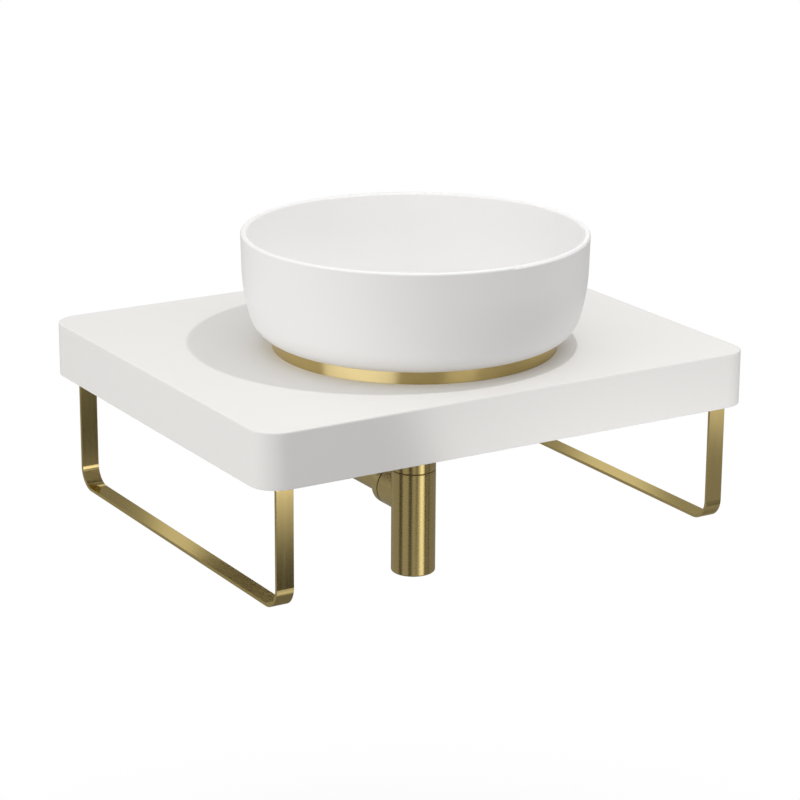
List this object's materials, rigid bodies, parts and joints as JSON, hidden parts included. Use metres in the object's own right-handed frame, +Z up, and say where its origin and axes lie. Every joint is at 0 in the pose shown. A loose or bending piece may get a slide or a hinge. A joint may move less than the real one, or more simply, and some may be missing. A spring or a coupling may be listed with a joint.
{
  "type": "wash basin with shelf",
  "caption": "Wall-hung shelf with a round basin on a brass ring, flat-strip towel rails under both ends, a push plug and a bottle trap with an outlet to the wall.",
  "frame": {"origin": "middle of the shelf's rear face, in the plane of the wall", "axes": "+Z up, +X to the right along the wall, +Y into the wall, so the front faces -Y"},
  "size_m": [0.6, 0.54, 0.3885],
  "materials": {
    "cast_white": "matte",
    "brushed_brass": "satin",
    "seal_rubber": "matte",
    "zinc_steel": "satin",
    "grey_plastic": "satin"
  },
  "bodies": {
    "basin_and_shelf": {"shelf_slab": "cast_white", "basin_bowl": "cast_white", "wall_plates": "zinc_steel", "base_ring": "brushed_brass", "ring_lower_gasket": "seal_rubber", "ring_upper_gasket": "seal_rubber", "waste_body": "brushed_brass", "waste_flange_seal": "seal_rubber", "waste_lower_seal": "seal_rubber", "waste_locknut": "brushed_brass", "union_nut": "brushed_brass", "union_washer": "seal_rubber", "inlet_tube": "brushed_brass", "trap_seal": "seal_rubber", "trap_nut": "brushed_brass", "trap_body": "brushed_brass", "outlet_seal": "seal_rubber", "outlet_nut": "brushed_brass", "outlet_pipe": "brushed_brass", "left_towel_rail": "brushed_brass", "right_towel_rail": "brushed_brass", "rail_screws": "zinc_steel", "rail_inserts": "brushed_brass", "plug_cartridge": "grey_plastic", "plug_spring": "zinc_steel"},
    "waste_plug": {"plug_cap": "brushed_brass", "plug_seal": "seal_rubber", "plug_stem": "brushed_brass"},
    "cleaning_seal": {"cleaning_oring": "seal_rubber"},
    "cleaning_plug": {"cleaning_plug": "brushed_brass"},
    "rosette": {"wall_flange": "brushed_brass"}
  },
  "joints": [
    {"name": "plug_lift", "type": "slide", "parent": "basin_and_shelf", "child": "waste_plug", "axis": [0, 0, 1], "range_m": [0, 0.009], "deforming": ["plug_spring"]},
    {"name": "cleaning_drop", "type": "slide", "parent": "basin_and_shelf", "child": "cleaning_seal", "axis": [0, 0, -1], "range_m": [0, 0.006]},
    {"name": "cleaning_turn", "type": "hinge", "parent": "cleaning_seal", "child": "cleaning_plug", "pos_m": [0, -0.292, -0.232], "axis": [0, 0, -1], "range_deg": [0, 1080]},
    {"name": "rosette_slide", "type": "slide", "parent": "basin_and_shelf", "child": "rosette", "axis": [0, -1, 0], "range_m": [0, 0.2]}
  ],
  "couplings": [
    {"joint": "cleaning_turn", "follows": "cleaning_drop", "rad_per_m": 3141.6}
  ]
}
